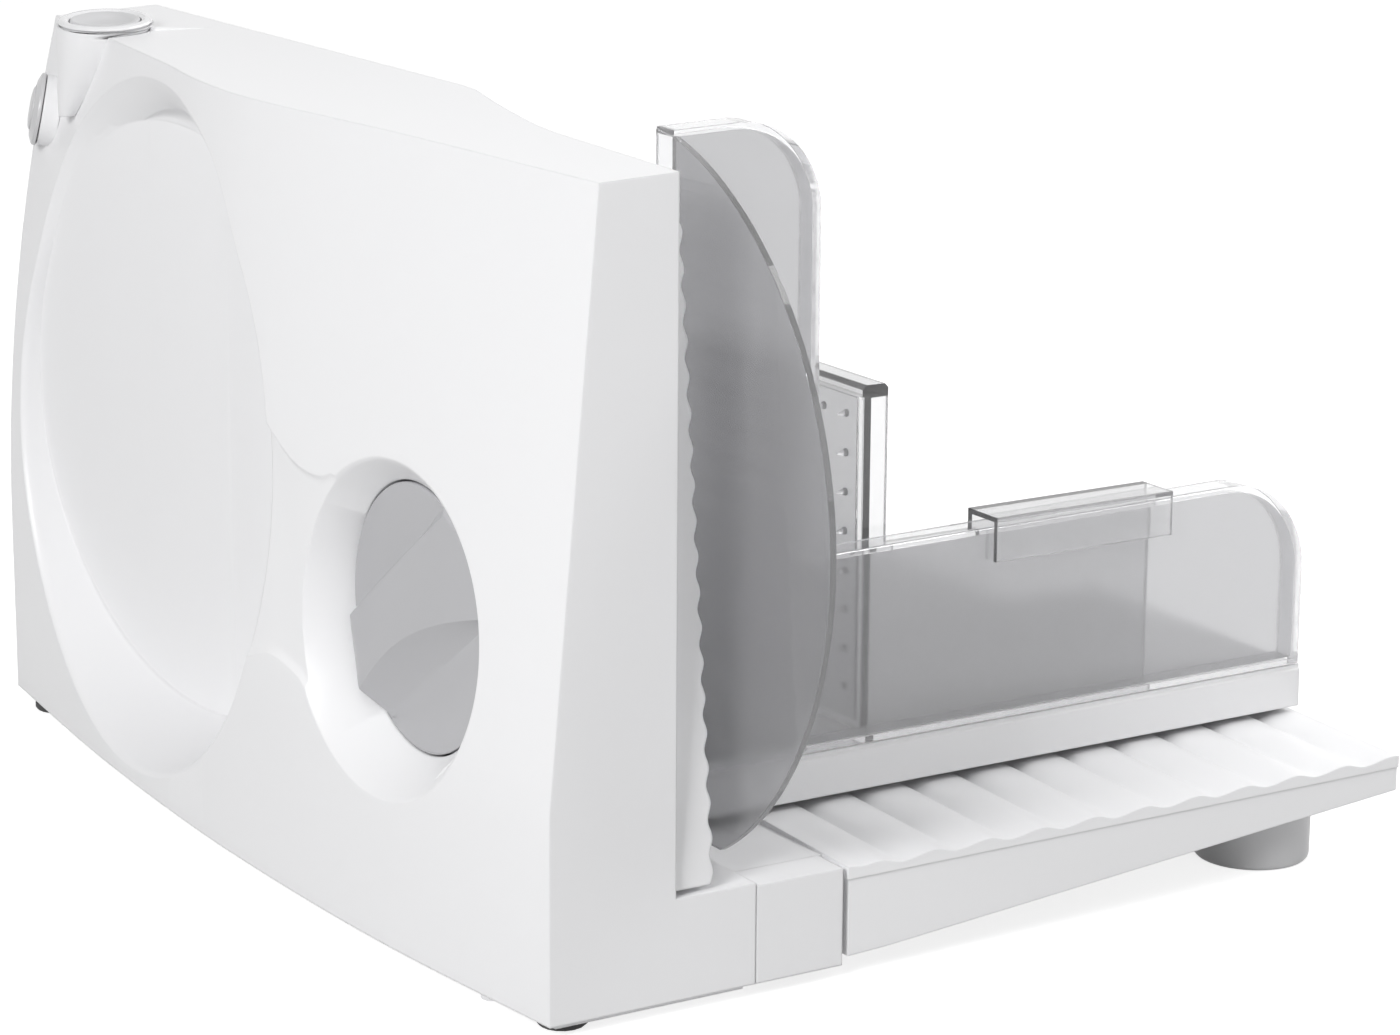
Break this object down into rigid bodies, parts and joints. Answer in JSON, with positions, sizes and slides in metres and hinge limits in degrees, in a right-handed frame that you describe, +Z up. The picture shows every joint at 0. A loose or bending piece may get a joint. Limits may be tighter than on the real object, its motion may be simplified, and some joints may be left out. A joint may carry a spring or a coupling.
{
  "type": "electric food slicer with sliding carriage and remnant holder",
  "caption": "White electric food slicer: housing with a round slice dish and thickness dial, ribbed stop plate and deck, round blade, sliding clear carriage wall with thumb guard and spiked remnant holder.",
  "frame": {"origin": "centre of the bounding box, on the table under the feet", "axes": "+X to the right across the deck, away from the blade; +Y away from the user, the way the carriage is pushed; +Z up"},
  "size_m": [0.2954, 0.392, 0.2288],
  "materials": {
    "white": "satin",
    "grey": "satin",
    "silver": "satin",
    "clear": "gloss",
    "steel": "satin",
    "rubber": "matte",
    "nylon": "matte",
    "bronze": "satin",
    "black": "matte",
    "board": "satin"
  },
  "bodies": {
    "housing": {"main_shell": "white", "side_panel": "white", "base_end_cap": "white", "bottom_cover": "white", "deck": "white", "deck_foot_near": "grey", "deck_foot_far": "grey", "rubber_foot_1": "rubber", "rubber_foot_2": "rubber", "rubber_foot_3": "rubber", "rubber_foot_4": "rubber", "guide_rod_upper": "steel", "guide_rod_lower": "steel", "power_ring": "silver", "power_switch": "black", "safety_ring": "white", "safety_switch": "black", "blade_axle": "steel", "worm_bracket": "nylon", "worm_bush": "bronze", "motor_bracket": "steel", "motor_can": "steel", "motor_end_cap": "black", "control_board": "board", "cord_gland": "black", "bottom_screw_1": "steel", "bottom_screw_2": "steel", "bottom_screw_3": "steel", "bottom_screw_4": "steel", "panel_screw_1": "steel", "panel_screw_2": "steel", "panel_screw_3": "steel", "panel_screw_4": "steel", "deck_screw_1": "steel", "deck_screw_2": "steel"},
    "dial": {"thickness_dial": "silver", "dial_retainer": "steel", "dial_cam": "nylon"},
    "stop": {"stop_plate": "white", "stop_carrier": "nylon", "carrier_screw_1": "steel", "carrier_screw_2": "steel"},
    "blade_set": {"blade": "steel", "blade_gear": "nylon", "blade_lock": "steel"},
    "worm": {"worm_shaft": "steel"},
    "power_push": {"power_button": "grey"},
    "safety_push": {"safety_button": "grey"},
    "carriage": {"carriage_base": "white", "carriage_wall": "clear", "guide_shoe": "nylon", "shoe_screw_1": "steel", "shoe_screw_2": "steel"},
    "remnant": {"remnant_holder": "clear", "spike_plate": "clear"}
  },
  "joints": [
    {"name": "carriage_slide", "type": "slide", "parent": "housing", "child": "carriage", "axis": [0, 1, 0], "range_m": [0, 0.195]},
    {"name": "remnant_slide", "type": "slide", "parent": "carriage", "child": "remnant", "axis": [1, 0, 0], "range_m": [-0.057, 0.048]},
    {"name": "dial_turn", "type": "hinge", "parent": "housing", "child": "dial", "pos_m": [-0.13151, -0.083, 0.093], "axis": [1, 0, 0], "range_deg": [-198, 72]},
    {"name": "stop_slide", "type": "slide", "parent": "housing", "child": "stop", "axis": [1, 0, 0], "range_m": [-0.004, 0.011]},
    {"name": "blade_spin", "type": "hinge", "parent": "housing", "child": "blade_set", "pos_m": [-0.07781, 0.083, 0.112], "axis": [1, 0, 0], "continuous": true},
    {"name": "worm_spin", "type": "hinge", "parent": "housing", "child": "worm", "pos_m": [-0.09601, 0.083, 0.0854], "axis": [0, 1, 0], "continuous": true},
    {"name": "power_press", "type": "slide", "parent": "housing", "child": "power_push", "axis": [0.046, 0.077, -0.996], "range_m": [0, 0.0025], "stiffness_N_per_m": 600, "springref_m": -0.002},
    {"name": "safety_press", "type": "slide", "parent": "housing", "child": "safety_push", "axis": [0.9058, -0.3733, -0.2002], "range_m": [0, 0.0025], "stiffness_N_per_m": 500, "springref_m": -0.002}
  ],
  "couplings": [
    {"joint": "dial_turn", "follows": "stop_slide", "rad_per_m": -314.16},
    {"joint": "worm_spin", "follows": "blade_spin", "ratio": 36}
  ]
}
